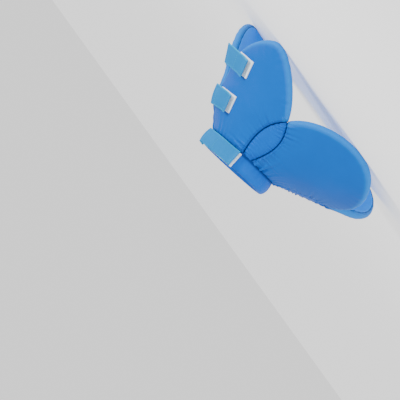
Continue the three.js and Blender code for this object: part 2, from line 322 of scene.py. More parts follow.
def make_region(place, middle, half, rolls, puckers, crown, seed):
    """A stuffed piece of skin. Middle is its mid depth under the skin and half its half thickness.
    Rolls are how wide the padding takes to reach full thickness at each side, and puckers are
    (height, wavelength, spread) at each side."""
    region = {"place": place, "middle": middle, "half": half, "rolls": rolls, "puckers": puckers}
    borders = {side: skin(*border_line(place, side)) for side in SIDES}
    return region | {"crown": crown, "seed": seed, "borders": borders}


def padding(region, points, is_back):
    """Fullness from 0 at the border to 1, and the height of puckers and crown above that."""
    fullness = np.ones(points.shape[:-1])
    relief = np.zeros(points.shape[:-1])
    for number, side in enumerate(SIDES):
        gap, along = nearest_on(region["borders"][side], points)
        t = np.clip(gap / region["rolls"][side], 0, 1)
        fullness *= (1 - (1 - t) ** ROLL_POWER) ** (1 / ROLL_POWER)
        height, wavelength, spread = region["puckers"][side]
        seed = region["seed"] * 100 + number * 10 + is_back
        bend = PUCKER_BEND * gathers(gap, spread * 2, seed + 1)
        ripple = gathers(along + bend, wavelength, seed)
        relief += height * ripple * np.exp(-gap / spread) * (1 - np.exp(-gap / PUCKER_START))
    uneven = UNEVEN_SHARE * undulation(points, UNEVEN_LENGTH, region["seed"] + is_back)
    relief += region["crown"] * fullness * (1 - UNEVEN_SHARE + uneven)
    return fullness, relief


def region_surface(region, bearing, reach, is_back=False, lift=0.0):
    """Points and outward directions of the stuffed piece's front or back."""
    points = skin(bearing, reach)
    normals = outward(skin, bearing, reach)
    fullness, relief = padding(region, points, is_back)
    height = region["half"] * fullness + relief + lift
    if is_back:
        return points - normals * (region["middle"] + height)[..., None], -normals
    return points - normals * (region["middle"] - height)[..., None], normals


EVEN_SPACING = 0.35


def grid_of(region, count_across, count_along):
    """Bearings and reaches over a region, with more of them near its borders."""

    def crowded(count):
        t = np.linspace(0, 1, count)
        return EVEN_SPACING * t + (1 - EVEN_SPACING) * (1 - np.cos(math.pi * t)) / 2

    u, v = np.meshgrid(crowded(count_across), crowded(count_along), indexing="ij")
    return region["place"](u, v)


# Rolls in millimetres, and puckers as (height, wavelength, spread).
COVER_SLACK = 0.3
PETAL_CROWN = 0.55
PETAL_ROLLS = {"neck": 4.0, "gusset": 4.0, "slit": 5.5, "free": 6.5}
PETAL_PUCKERS = {
    "neck": (1.6, 7.0, 10.0),
    "gusset": (2.0, 6.0, 9.0),
    "slit": (0.8, 12.0, 10.0),
    "free": (0.7, 11.0, 8.0),
}
GUSSET_CROWN = 0.4
GUSSET_ROLLS = {"neck": 7.0, "second": 11.0, "free": 6.0, "first": 11.0}
GUSSET_PUCKERS = {
    "neck": (0.5, 5.0, 5.0),
    "second": (1.6, 4.8, 8.0),
    "free": (0.3, 4.0, 4.0),
    "first": (1.6, 4.8, 8.0),
}


def petal_region(name, seed):
    first, second = (("slit" if side == "slit" else "gusset") for side in PETALS[name])
    kinds = {"neck": "neck", "second": second, "free": "free", "first": first}
    rolls = {side: PETAL_ROLLS[kind] for side, kind in kinds.items()}
    puckers = {side: PETAL_PUCKERS[kind] for side, kind in kinds.items()}
    half = PETAL_THICKNESS / 2
    place = petal_place(name)
    region = make_region(place, half, half - COVER_SLACK, rolls, puckers, PETAL_CROWN, seed)
    region["kinds"] = kinds
    return region


def gusset_region(name, seed):
    half = GUSSET_THICKNESS / 2
    middle = GUSSET_DEPTH + half
    place = gusset_place(name)
    return make_region(place, middle, half, GUSSET_ROLLS, GUSSET_PUCKERS, GUSSET_CROWN, seed)


# ---- materials
# Shades are factors on a cloth's own colour, and shares say how far one colour turns to another.
SHEEN_ROUGHNESS = 0.45
CLOTH_SPECULAR = 0.08
CLOUD_SCALE = 22.0
CLOUD_SHADES = (0.88, 1.12)
# Painted highlight on the raised threads: how much paler they are painted, and how far.
THREAD_SHADE = 1.5
THREAD_SHARE = 0.12
WEAVE_BUMP = 0.6
# Painted highlight on the rims: how much greener and bluer they are painted, and how far.
RIM_GREEN = 2.3
RIM_BLUE = 1.5
RIM_HIGHLIGHT_SHARE = 0.7
CREASE_SHADE = 0.45
# Painted highlight on the tufts' tips and painted shade at their roots.
TUFT_SHADES = (1.08, 0.7)
TUFT_BUMP = 0.8


def linear(red, green, blue):
    """Scene-linear colour from an 8-bit display colour."""
    def channel(value):
        c = value / 255
        return c / 12.92 if c <= 0.04045 else ((c + 0.055) / 1.055) ** 2.4

    return (channel(red), channel(green), channel(blue), 1.0)


def shade(colour, factor):
    return tuple(min(c * factor, 1.0) for c in colour[:3]) + (1.0,)


def rim_highlight_tint(colour):
    """Painted highlight: edges are painted paler and a little greener, as where they catch the light.
    """
    return (colour[0], min(colour[1] * RIM_GREEN, 1.0), min(colour[2] * RIM_BLUE, 1.0), 1.0)


def wire(start, end):
    end.id_data.links.new(start, end)


def set_inputs(node, inputs):
    for key, value in inputs.items():
        node.inputs[key.replace("_", " ")].default_value = value
    return node


def add_node(material, kind, **inputs):
    return set_inputs(material.node_tree.nodes.new(kind), inputs)


def new_material(name, **inputs):
    """A material and its shader."""
    material = bpy.data.materials.new(name)
    material.use_nodes = True
    return material, set_inputs(material.node_tree.nodes["Principled BSDF"], inputs)


def bumped(material, shader, height, strength, distance):
    """Relief on the shader from a height socket."""
    bump = add_node(material, "ShaderNodeBump", Strength=strength, Distance=distance)
    wire(height, bump.inputs["Height"])
    wire(bump.outputs["Normal"], shader.inputs["Normal"])


def mixed(material, factor, low, high):
    """A colour mix whose ends are constant colours or sockets."""
    mix = material.node_tree.nodes.new("ShaderNodeMix")
    mix.data_type = "RGBA"
    for socket, end in ((mix.inputs[6], low), (mix.inputs[7], high)):
        if isinstance(end, tuple):
            socket.default_value = end
        else:
            wire(end, socket)
    wire(factor, mix.inputs[0])
    return mix.outputs[2]


def multiplied(material, socket, other):
    """A socket times a constant number or another socket."""
    node = material.node_tree.nodes.new("ShaderNodeMath")
    node.operation = "MULTIPLY"
    wire(socket, node.inputs[0])
    if isinstance(other, float):
        node.inputs[1].default_value = other
    else:
        wire(other, node.inputs[1])
    return node.outputs[0]


def weave_height(material, pitch, slant_ratio):
    """Two crossed sets of threads, with a thread of each set every pitch millimetres."""
    coordinates = add_node(material, "ShaderNodeUVMap")
    waves = []
    for direction, ratio in (("X", 1.0), ("Y", slant_ratio)):
        scale = math.pi / 10 / (pitch * ratio)
        wave = add_node(material, "ShaderNodeTexWave", Scale=scale, Distortion=0.4)
        wave.bands_direction = direction
        wire(coordinates.outputs["UV"], wave.inputs["Vector"])
        waves.append(wave.outputs["Fac"])
    return multiplied(material, *waves)


def fabric(name, colour, roughness, pitch, depth, sheen, crease_shade_colour=None, slant_ratio=1.0):
    """Woven cloth: thread relief, cloudy colour, a painted highlight on the rims and on the raised
    threads, and painted shade in the stitched-in creases. Pitch is in millimetres of cloth, and depth
    in metres."""
    material, shader = new_material(
        name,
        Roughness=roughness,
        Sheen_Weight=sheen,
        Sheen_Roughness=SHEEN_ROUGHNESS,
        Specular_IOR_Level=CLOTH_SPECULAR,
    )
    place = add_node(material, "ShaderNodeTexCoord")
    cloud = add_node(material, "ShaderNodeTexNoise", Scale=CLOUD_SCALE, Detail=4.0, Roughness=0.6)
    wire(place.outputs["Object"], cloud.inputs["Vector"])
    dull, bright = (shade(colour, factor) for factor in CLOUD_SHADES)
    cloudy = mixed(material, cloud.outputs["Fac"], dull, bright)
    threads = weave_height(material, pitch, slant_ratio)
    # Painted highlight: the raised threads are painted paler.
    lit_threads = multiplied(material, threads, THREAD_SHARE)
    woven = mixed(material, lit_threads, cloudy, shade(colour, THREAD_SHADE))
    # Painted highlight: the rims are painted paler.
    rim_highlight = add_node(material, "ShaderNodeAttribute")
    rim_highlight.attribute_name = "rim_highlight"
    paling = multiplied(material, rim_highlight.outputs["Fac"], RIM_HIGHLIGHT_SHARE)
    rim_highlighted = mixed(material, paling, woven, rim_highlight_tint(colour))
    # Painted shade: the cloth is painted dark in its creases.
    crease_shade = add_node(material, "ShaderNodeAttribute")
    crease_shade.attribute_name = "crease_shade"
    dark = crease_shade_colour or shade(colour, CREASE_SHADE)
    final = mixed(material, crease_shade.outputs["Fac"], rim_highlighted, dark)
    wire(final, shader.inputs["Base Color"])
    bumped(material, shader, threads, WEAVE_BUMP, depth)
    return material


def brushed(name, colour, scale, depth):
    """Hook or loop tape: a mat of tiny tufts, their tips painted a little paler and their roots in
    painted shade.
    """
    material, shader = new_material(name, Roughness=0.95, Sheen_Weight=0.5)
    place = add_node(material, "ShaderNodeTexCoord")
    tufts = add_node(material, "ShaderNodeTexVoronoi", Scale=scale)
    wire(place.outputs["Object"], tufts.inputs["Vector"])
    tip, root = (shade(colour, factor) for factor in TUFT_SHADES)
    shaded_tufts = mixed(material, tufts.outputs["Distance"], tip, root)
    wire(shaded_tufts, shader.inputs["Base Color"])
    bumped(material, shader, tufts.outputs["Distance"], TUFT_BUMP, depth)
    return material


COVER_COLOUR = (0.0001, 0.082, 0.385, 1.0)
# The lining's blue is painted much paler than the cover's: painted light on the shaded inner faces.
LIT_LINING_COLOUR = (0.001, 0.28, 0.9, 1.0)
BAND_COLOUR = (0.0001, 0.092, 0.46, 1.0)
GUSSET_COLOUR = (0.0001, 0.084, 0.42, 1.0)
# The seam cords' colour, and the painted shade in the satin's creases.
DARK_SEAM_AND_SHADE = (0.0001, 0.02, 0.12, 1.0)
TEAL = (0.0, 0.16, 0.42, 1.0)

BLUE_THREAD = (0.001, 0.1, 0.48, 1.0)
TEAL_THREAD = (0.02, 0.3, 0.45, 1.0)
THREAD = {"pitch": 0.4, "depth": 0.00004}
SATIN = {"depth": 0.00006, "sheen": 0.02, "crease_shade_colour": DARK_SEAM_AND_SHADE}
WEBBING = {"depth": 0.0003, "sheen": 0.0, "crease_shade_colour": shade(TEAL, 0.7), "slant_ratio": 0.45}

cover_cloth = fabric("cover_satin", COVER_COLOUR, roughness=0.5, pitch=0.55, **SATIN)
lit_lining_cloth = fabric("lit_lining_satin", LIT_LINING_COLOUR, roughness=0.5, pitch=0.6, **SATIN)
gusset_cloth = fabric("gusset_satin", GUSSET_COLOUR, roughness=0.5, pitch=0.55, **SATIN)
band_cloth = fabric("band_satin", BAND_COLOUR, roughness=0.55, pitch=0.6, **SATIN)
webbing_cloth = fabric("webbing_teal", TEAL, roughness=0.75, pitch=1.1, **WEBBING)
# Dark cords along the seams: partly seam thread, partly painted shade in the seam valleys.
seam_and_shade_thread = fabric("seam_and_shade_thread", DARK_SEAM_AND_SHADE, roughness=0.7, pitch=0.5, depth=0.00005, sheen=0.1)
blue_thread = fabric("blue_thread", BLUE_THREAD, roughness=0.5, sheen=0.02, **THREAD)
teal_thread = fabric("teal_thread", TEAL_THREAD, roughness=0.5, sheen=0.05, **THREAD)
white = linear(232, 240, 250)
white_thread = fabric("white_thread", white, roughness=0.6, sheen=0.2, **THREAD)
hook_mat = brushed("hook_mat", linear(150, 182, 216), scale=1500.0, depth=0.0003)
loop_mat = brushed("loop_mat", linear(224, 238, 250), scale=1100.0, depth=0.0004)


# ---- building meshes
# The petals' tips are pressed flat where the collar stands on them. Metres.
GROUND_CLEARANCE = 0.0002
# Growth of the skin's distance from the axis for each millimetre of reach, near enough for a weave.
FLARE_SLOPE = 0.7
# Where the painted shade at each seam and beside the topstitching and the painted highlight on the
# rims lie on the cloth, and how dark the shade is. Millimetres.
TOPSTITCH_INSET = 3.0
SEAM_SHADE = 0.8
SEAM_SHADE_WIDTH = 1.1
STITCH_SHADE = 0.4
STITCH_SHADE_WIDTH = 0.5
RIM_START = 0.5
RIM_WIDTH = 8
# The lining sinks at its edge, and is cut a little beyond where it meets the cover's lip.
LINING_INSET = 3.3
LINING_OVERLAP = 1.4
LINING_SUNK = -0.35
LINING_STEP = 0.75
LINING_STEP_START = 0.9
LINING_STEP_WIDTH = 2.2
# Painted shade on the lining's edge, under the cover's lip.
LINING_SHADE = 0.85
LINING_SHADE_WIDTH = 0.6
# Half the space between a gusset's two halves, at its fullest.
HALF_SPACE = 0.15


def add_object(name, data):
    item = bpy.data.objects.new(name, data)
    bpy.context.scene.collection.objects.link(item)
    return item


def add_mesh(name, points, faces, material, coordinates=None, values=None):
    """A smooth mesh from millimetre points. Coordinates are cloth millimetres for the weave, and
    values are named numbers for each point."""
    mesh = bpy.data.meshes.new(name)
    places = standing(points)
    places[:, 2] = np.maximum(places[:, 2], GROUND_CLEARANCE)
    mesh.from_pydata(places.tolist(), [], [list(map(int, face)) for face in faces])
    mesh.polygons.foreach_set("use_smooth", [True] * len(mesh.polygons))
    if coordinates is not None:
        layer = mesh.uv_layers.new(name="cloth")
        corners = np.zeros(len(mesh.loops), np.int64)
        mesh.loops.foreach_get("vertex_index", corners)
        layer.data.foreach_set("uv", np.asarray(coordinates, np.float32)[corners].ravel())
    for key, numbers in (values or {}).items():
        attribute = mesh.attributes.new(key, "FLOAT", "POINT")
        attribute.data.foreach_set("value", np.asarray(numbers, np.float32))
    mesh.materials.append(material)
    mesh.update()
    return add_object(name, mesh)


def facing_out(points, faces):
    """The quads of a closed shape, turned over if they look inwards."""
    a, b, c, d = (points[faces[:, k]] for k in range(4))
    volume = (np.cross(b - a, c - a) * a).sum() + (np.cross(c - a, d - a) * a).sum()
    return faces if volume > 0 else faces[:, ::-1]


def grid_faces(index):
    """Quads between the neighbours in a grid of point numbers."""
    a = index[:-1, :-1].ravel()
    b = index[1:, :-1].ravel()
    c = index[1:, 1:].ravel()
    d = index[:-1, 1:].ravel()
    return np.stack([a, b, c, d], axis=1)


def closed_pair(front, back):
    """Points and faces of a closed shape from two grids that share the front's border."""
    columns, rows = front.shape[:2]
    index = np.arange(columns * rows).reshape(columns, rows)
    inner = np.zeros((columns, rows), bool)
    inner[1:-1, 1:-1] = True
    back_index = index.copy()
    back_index[inner] = columns * rows + np.arange(inner.sum())
    points = np.concatenate([front.reshape(-1, 3), back[inner]])
    faces = np.concatenate([grid_faces(index), grid_faces(back_index)[:, ::-1]])
    return points, facing_out(points, faces), inner


def with_inner(grid, inner):
    """A grid's values for the points of a closed pair: the front's, then the back's own."""
    return np.concatenate([grid.reshape(-1, *grid.shape[2:]), grid[inner]])


def skin_radius(reach):
    """About how far the skin is from the neck's axis."""
    return NECK_RADIUS + FLARE_SLOPE * reach


def cloth_coordinates(bearing, reach):
    """Millimetres across and along the cloth, near enough for a weave."""
    middle = bearing.mean()
    across = np.radians(bearing - middle) * skin_radius(reach)
    return np.stack([across, reach], axis=-1)


def stuffed_piece(name, region):
    """The closed body of a petal."""
    bearing, reach = grid_of(region, PETAL_COUNT, PETAL_COUNT)
    front, _ = region_surface(region, bearing, reach)
    back, _ = region_surface(region, bearing, reach, True)
    points, faces, inner = closed_pair(front, back)
    skin_points = skin(bearing, reach)
    crease_shade = np.zeros(bearing.shape)
    rim_highlight = np.zeros(bearing.shape)
    for side, kind in region["kinds"].items():
        gap, _ = nearest_on(region["borders"][side], skin_points)
        # Painted shade in the seams and in the groove beside the topstitching.
        if kind in ("neck", "gusset"):
            crease_shade = np.maximum(crease_shade, SEAM_SHADE * bell(gap, SEAM_SHADE_WIDTH))
        if kind == "gusset":
            groove = STITCH_SHADE * bell(gap - TOPSTITCH_INSET, STITCH_SHADE_WIDTH)
            crease_shade = np.maximum(crease_shade, groove)
        # Painted highlight along the free edge.
        if kind == "free":
            rim_highlight = 1 - smooth((gap - RIM_START) / RIM_WIDTH)
    coordinates = with_inner(cloth_coordinates(bearing, reach), inner)
    values = {"crease_shade": with_inner(crease_shade, inner), "rim_highlight": with_inner(rim_highlight, inner)}
    return add_mesh(name, points, faces, cover_cloth, coordinates, values)


def border_gap(region, points):
    """Distance from each point to the nearest border of a region."""
    return np.min([nearest_on(region["borders"][side], points)[0] for side in SIDES], axis=0)


def lining_piece(name, region):
    """The lining lies on the back, inside the turned-over edge of the cover."""
    bearing, reach = grid_of(region, PETAL_COUNT, PETAL_COUNT)
    skin_points = skin(bearing, reach)
    gap = border_gap(region, skin_points)
    climb = smooth((gap - LINING_INSET + LINING_STEP_START) / LINING_STEP_WIDTH)
    lift = LINING_SUNK + LINING_STEP * climb
    points, _ = region_surface(region, bearing, reach, True, lift)
    index = np.arange(bearing.size).reshape(bearing.shape)
    faces = grid_faces(index)[:, ::-1]
    shown = gap.ravel() > LINING_INSET - LINING_OVERLAP
    faces = faces[shown[faces].all(axis=1)]
    used = np.unique(faces)
    renumber = np.zeros(bearing.size, np.int64)
    renumber[used] = np.arange(len(used))
    # Painted shade under the cover's lip.
    crease_shade = LINING_SHADE * bell(gap - LINING_INSET, LINING_SHADE_WIDTH)
    values = {"crease_shade": crease_shade.ravel()[used]}
    coordinates = cloth_coordinates(bearing, reach).reshape(-1, 2)[used]
    kept = points.reshape(-1, 3)[used]
    return add_mesh(name, kept, renumber[faces], lit_lining_cloth, coordinates, values)


def half_piece(name, region, material, is_back, count_across, count_along):
    """The front or back half of a gusset, closed by a flat face at its middle."""
    bearing, reach = grid_of(region, count_across, count_along)
    face, _ = region_surface(region, bearing, reach, is_back)
    side = -1 if is_back else 1
    normals = outward(skin, bearing, reach)
    skin_points = skin(bearing, reach)
    fullness, _ = padding(region, skin_points, is_back)
    flat = skin_points - normals * (region["middle"] - side * HALF_SPACE * fullness)[..., None]
    points, faces, inner = closed_pair(face, flat)
    # Painted shade along the gusset's seams.
    crease_shade = SEAM_SHADE * bell(border_gap(region, skin_points), SEAM_SHADE_WIDTH)
    coordinates = with_inner(cloth_coordinates(bearing, reach), inner)
    values = {"crease_shade": with_inner(crease_shade, inner)}
    return add_mesh(name, points, faces, material, coordinates, values)


# Any direction that no seam runs along, a stitch's swelling as (share of its length, share of its
# radius), how far its middle rises, in radii, how many points go round it, and how far threads stand
# off the cloth, in millimetres.
ODD_DIRECTION = (0.3, 0.5, 0.8)
STITCH_SHAPE = [(0.0, 0.0), (0.12, 0.8), (0.35, 1.0), (0.65, 1.0), (0.88, 0.8), (1.0, 0.0)]
STITCH_ARCH = 0.6
STITCH_SIDES = 6
TUBE_SIDES = 8
THREAD_LIFT = 0.05
# The step that measures the skin's slopes, and how near another side may be, as a share.
LINE_STEP = 0.1
NEAREST_SHARE = 0.98


def tube(points, radius):
    """Points and faces of a round cord along a line."""
    ahead = unit(np.gradient(points, axis=0))
    across = np.zeros_like(points)
    across[0] = unit(np.cross(ahead[0], ODD_DIRECTION))
    for k in range(1, len(points)):
        across[k] = unit(across[k - 1] - ahead[k] * (across[k - 1] @ ahead[k]))
    other = np.cross(ahead, across)
    turns = np.linspace(0, 2 * math.pi, TUBE_SIDES, endpoint=False)
    rings = [points + radius * (math.cos(t) * across + math.sin(t) * other) for t in turns]
    grid = np.stack(rings, axis=1)
    index = np.arange(len(points) * TUBE_SIDES).reshape(-1, TUBE_SIDES)
    looped = np.concatenate([index, index[:, :1]], axis=1)
    return grid.reshape(-1, 3), grid_faces(looped)


def stitches(points, normals, length, gap, radius):
    """Short rounded threads laid along a line, half sunk in the cloth."""
    steps = np.linalg.norm(np.diff(points, axis=0), axis=1)
    travelled = np.concatenate([[0], np.cumsum(steps)])
    count = int((travelled[-1] - gap) / (length + gap))
    size = len(STITCH_SHAPE) * STITCH_SIDES
    grid = np.arange(size).reshape(-1, STITCH_SIDES)
    looped = np.concatenate([grid, grid[:, :1]], axis=1)
    all_points, all_faces = [], []
    for k in range(count):
        at = gap + k * (length + gap) + np.array([0, length])
        ends = np.stack([np.interp(at, travelled, points[:, axis]) for axis in range(3)], axis=1)
        middle = [np.interp(at.mean(), travelled, normals[:, axis]) for axis in range(3)]
        up = unit(np.array(middle))
        along = ends[1] - ends[0]
        side = unit(np.cross(up, along))
        rings = []
        for t, swell in STITCH_SHAPE:
            arch = radius * STITCH_ARCH * (math.sin(math.pi * t) - 0.5)
            centre = ends[0] + along * t + up * (THREAD_LIFT + arch)
            for n in range(STITCH_SIDES):
                turn = n * 2 * math.pi / STITCH_SIDES
                spoke = math.cos(turn) * side + math.sin(turn) * up
                rings.append(centre + radius * swell * spoke)
        all_points.append(np.array(rings))
        all_faces.append(grid_faces(looped + k * size))
    return np.concatenate(all_points), np.concatenate(all_faces)


def joined(parts):
    """One set of points and faces from several."""
    points, faces, base = [], [], 0
    for part_points, part_faces in parts:
        points.append(part_points)
        faces.append(part_faces + base)
        base += len(part_points)
    return np.concatenate(points), np.concatenate(faces)


def step_on_skin(bearing, reach, goal):
    """Bearings and reaches a short way off, along a goal vector that lies in the skin."""
    points = skin(bearing, reach)
    by_bearing = (skin(bearing + LINE_STEP, reach) - points) / LINE_STEP
    by_reach = (skin(bearing, reach + LINE_STEP) - points) / LINE_STEP
    aa = (by_bearing * by_bearing).sum(1)
    ab = (by_bearing * by_reach).sum(1)
    bb = (by_reach * by_reach).sum(1)
    ga = (by_bearing * goal).sum(1)
    gb = (by_reach * goal).sum(1)
    det = aa * bb - ab * ab
    return bearing + (ga * bb - gb * ab) / det, reach + (gb * aa - ga * ab) / det


def inner_line(region, side, distance):
    """Bearings and reaches of a line inside one side, cut where another side is nearer."""
    bearing, reach = border_line(region["place"], side)
    points = region["borders"][side]
    normals = outward(skin, bearing, reach)
    ahead = np.gradient(points, axis=0)
    inward = unit(np.cross(normals, ahead))
    centre = skin(*region["place"](0.5, 0.5))
    if ((centre - points) * inward).sum() < 0:
        inward = -inward
    moved_bearing, moved_reach = step_on_skin(bearing, reach, inward * distance)
    moved = skin(moved_bearing, moved_reach)
    clear = np.ones(len(moved), bool)
    for other in SIDES:
        if other != side:
            gap, _ = nearest_on(region["borders"][other], moved)
            clear &= gap > distance * NEAREST_SHARE
    return moved_bearing[clear], moved_reach[clear]


# ---- petals
PETAL_COUNT = 116
# Radii and lengths of the seams and stitches, in millimetres, and how many of the border's points
# they pass over.
SEAM_RADIUS = 0.5
LINING_SEAM_RADIUS = 0.28
SEAM_STRIDE = 3
LINING_STRIDE = 2
TOPSTITCH = {"length": 2.4, "gap": 0.9, "radius": 0.22}


def petal_threads(name, region):
    """Dark seam lines round the sewn sides and the lining, which stand partly for the seams and partly
    for painted shade in them, and topstitching beside the gussets.
    """
    seams_and_shade, rows_of_stitches = [], []
    for side, kind in region["kinds"].items():
        bearing, reach = border_line(region["place"], side)
        if kind in ("neck", "gusset"):
            middle = skin(bearing, reach) - outward(skin, bearing, reach) * region["middle"]
            seams_and_shade.append(tube(middle[::SEAM_STRIDE], SEAM_RADIUS))
        line = inner_line(region, side, LINING_INSET)
        on_back, _ = region_surface(region, *line, True, THREAD_LIFT)
        seams_and_shade.append(tube(on_back[::LINING_STRIDE], LINING_SEAM_RADIUS))
        if kind == "gusset":
            line = inner_line(region, side, TOPSTITCH_INSET)
            on_front, up = region_surface(region, *line)
            rows_of_stitches.append(stitches(on_front, up, **TOPSTITCH))
    seam_points, seam_faces = joined(seams_and_shade)
    seam = add_mesh(f"{name}_seams", seam_points, seam_faces, seam_and_shade_thread)
    stitch_points, stitch_faces = joined(rows_of_stitches)
    stitching = add_mesh(f"{name}_topstitching", stitch_points, stitch_faces, blue_thread)
    for piece in (seam, stitching):
        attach(piece, name)


def build_petal(name, seed):
    region = petal_region(name, seed)
    cover = stuffed_piece(f"{name}_padded_cover", region)
    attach(cover, name)
    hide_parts(f"{name}_cover", f"{name}_foam")
    lining = lining_piece(f"{name}_inner_lining", region)
    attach(lining, name)
    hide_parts(f"{name}_lining")
    petal_threads(name, region)


for number, petal in enumerate(PETALS):
    build_petal(petal, number + 1)


# ---- gussets
# Half the width of the fold line, in metres, and the reach and turn of two points of a gusset that set
# where it runs.
FOLD_HALF_WIDTH = 0.006
FOLD_REACH = 30.0
FOLD_TURN = 8.0
PUFF_GRID = (56, 96)
INNER_GRID = (48, 80)
FIRST_GUSSET_SEED = 21


def joint_named(name):
    return next(joint for joint in frame["joints"] if joint["name"] == name)


def fold_line(side):
    """Where a fold bends: from the first body's side to the second's, in the row frame."""
    joint = joint_named(f"{side}_fold")
    start, end = (
        standing(skin(GUSSET_CENTRE[side] + turn, FOLD_REACH))
        for turn in (FOLD_TURN, -FOLD_TURN)
    )
    centre = Vector((start + end) / 2)
    axis = Vector(joint["axis"])
    hinge = Vector(joint["pos_m"])
    centre = hinge + axis * (centre - hinge).dot(axis)
    across = Vector(end - start)
    across = (across - axis * across.dot(axis)).normalized()
    return centre - across * FOLD_HALF_WIDTH, centre + across * FOLD_HALF_WIDTH


def build_gusset(name, seed):
    region = gusset_region(name, seed)
    panel = half_piece(f"{name}_gusset_puff", region, gusset_cloth, False, *PUFF_GRID)
    lining = half_piece(f"{name}_gusset_inner", region, lit_lining_cloth, True, *INNER_GRID)
    start, end = fold_line(name)
    for piece in (panel, lining):
        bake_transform(piece)
    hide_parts(f"{name}_gusset_panel", f"{name}_gusset_wadding")
    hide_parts(f"{name}_gusset_lining")


for number, gusset in enumerate(GUSSET_CENTRE):
    build_gusset(gusset, number + FIRST_GUSSET_SEED)


# ---- neck band, in three stuffed rolls
BAND_COUNT = 110
BAND_SECTION_POINTS = 32
BAND_SQUARENESS = 2.7
BAND_SLACK = 0.1
BAND_TOP = BAND_HEIGHT - 0.4
# The roll reaches down into the petals' padding, so that no gap shows at the neck seam.
BAND_FOOT = -6.8
BAND_END_ROUNDING = 4.5
BAND_END_LEAST = 0.01
# Painted shade at the foot of the band, where it meets the petals.
BAND_SEAM_SHADE = 0.85
BAND_SEAM_HEIGHT = 0.4
BAND_SEAM_WIDTH = 1.2
BAND_GIRTH = 58
# Gathers of the band as (wavelength, seed), and how high they stand.
FINE_GATHERS = (6.5, 61)
WIDE_GATHERS = (23, 62)
FINE_HEIGHT = 0.15
FINE_HEIGHT_AT_SEAM = 0.55
FINE_SPREAD = 0.7
WIDE_HEIGHT = 0.25
GATHER_HEIGHT = 0.7


def squared(wave):
    """A sine or cosine, swelled so that the section is a rounded box."""
    return np.sign(wave) * np.abs(wave) ** (2 / BAND_SQUARENESS)


def band_ring(bearing, shrink, position):
    """One closed ring of the stuffed band. Position is millimetres along it, for the gathers."""
    turns = np.linspace(0, 2 * math.pi, BAND_SECTION_POINTS, endpoint=False)
    out = squared(np.cos(turns))
    up = squared(np.sin(turns))
    near_seam = bell(up + 1, FINE_SPREAD)
    ripple = gathers(position, *FINE_GATHERS) * (FINE_HEIGHT + FINE_HEIGHT_AT_SEAM * near_seam)
    ripple = ripple + gathers(position, *WIDE_GATHERS) * WIDE_HEIGHT
    half_thick = (BAND_THICKNESS / 2 - BAND_SLACK) * shrink
    half_high = (BAND_TOP - BAND_FOOT) / 2 * shrink
    height = (BAND_TOP + BAND_FOOT) / 2 + half_high * up
    swell = BAND_SWELL * np.sin(math.pi * np.clip(height / BAND_HEIGHT, 0, 1))
    outside = (out + 1) / 2
    distance = NECK_RADIUS + swell * outside - BAND_THICKNESS / 2 + half_thick * out
    distance = distance + ripple * outside * shrink * GATHER_HEIGHT
    return seam_radial(bearing) * distance[:, None] + SEAM_AXIS * height[:, None]


def band_shade(ring, bearing):
    """Painted shade on a ring where it meets the petals."""
    height = (ring - NECK_RADIUS * seam_radial(bearing)) @ SEAM_AXIS
    above = np.maximum(height - BAND_SEAM_HEIGHT, 0)
    return BAND_SEAM_SHADE * bell(above, BAND_SEAM_WIDTH)


def end_shrink(bearing, end):
    """How far a ring shrinks near a rounded end of the band."""
    away = abs(math.radians(bearing - end)) * NECK_RADIUS
    t = min(away / BAND_END_ROUNDING, 1.0)
    return max(1 - (1 - t) ** 2, BAND_END_LEAST) ** 0.5


def capped(grid):
    """Points and faces of a tube of rings, closed by a fan at each end."""
    count, around = grid.shape[:2]
    index = np.arange(count * around).reshape(count, around)
    points = grid.reshape(-1, 3)
    sides = grid_faces(np.concatenate([index, index[:, :1]], axis=1))
    outward_sides = facing_out(points, sides)
    turned = not np.array_equal(outward_sides, sides)
    faces = outward_sides.tolist()
    for ring, is_last in ((index[0], False), (index[-1], True)):
        centre = np.full_like(ring, len(points))
        points = np.concatenate([points, points[ring].mean(0)[None]])
        fan = np.stack([ring, np.roll(ring, -1), centre], axis=1)
        faces += (fan[:, [1, 0, 2]] if is_last != turned else fan).tolist()
    return points, faces


def build_band(name, fold, start, end, rounded_ends, swaps):
    """A band from one bearing down to another. It is rounded at the slit and meets its neighbours
    elsewhere. Swaps are the petals whose lengths of CAD band it stands for."""
    rings, shades = [], []
    bearings = start + (end - start) * np.linspace(0, 1, BAND_COUNT)
    positions = np.radians(bearings) * NECK_RADIUS
    for bearing, position in zip(bearings, positions):
        shrink = math.prod(end_shrink(bearing, rounded) for rounded in rounded_ends)
        rings.append(band_ring(bearing, shrink, position))
        shades.append(band_shade(rings[-1], bearing))
    points, faces = capped(np.array(rings))
    along = np.repeat(positions, BAND_SECTION_POINTS)
    around = np.tile(np.linspace(0, BAND_GIRTH, BAND_SECTION_POINTS), BAND_COUNT)
    coordinates = np.concatenate([np.stack([along, around], axis=1), np.zeros((2, 2))])
    values = {"crease_shade": np.concatenate([np.concatenate(shades), np.zeros(2)])}
    piece = add_mesh(name, points, faces, band_cloth, coordinates, values)
    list(fold_line(fold))
    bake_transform(piece)
    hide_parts(*[f"{kind}_{petal}" for kind in ("neck_band", "neck_roll") for petal in swaps])


slit_gap = math.degrees(SLIT_HALF_GAP / NECK_RADIUS)
right_start = SLIT_BEARING - slit_gap
left_end = SLIT_BEARING - 360 + slit_gap
right_join = (GUSSET_CENTRE["right"] + GUSSET_CENTRE["throat"]) / 2
left_join = (GUSSET_CENTRE["throat"] + GUSSET_CENTRE["left"]) / 2
build_band("right_neck_roll", "right", right_start, right_join, [right_start], ["nape_right"])
build_band("throat_neck_roll", "throat", right_join, left_join, [], ["throat_right", "throat_left"])
build_band("left_neck_roll", "left", left_join, left_end, [left_end], ["nape_left"])

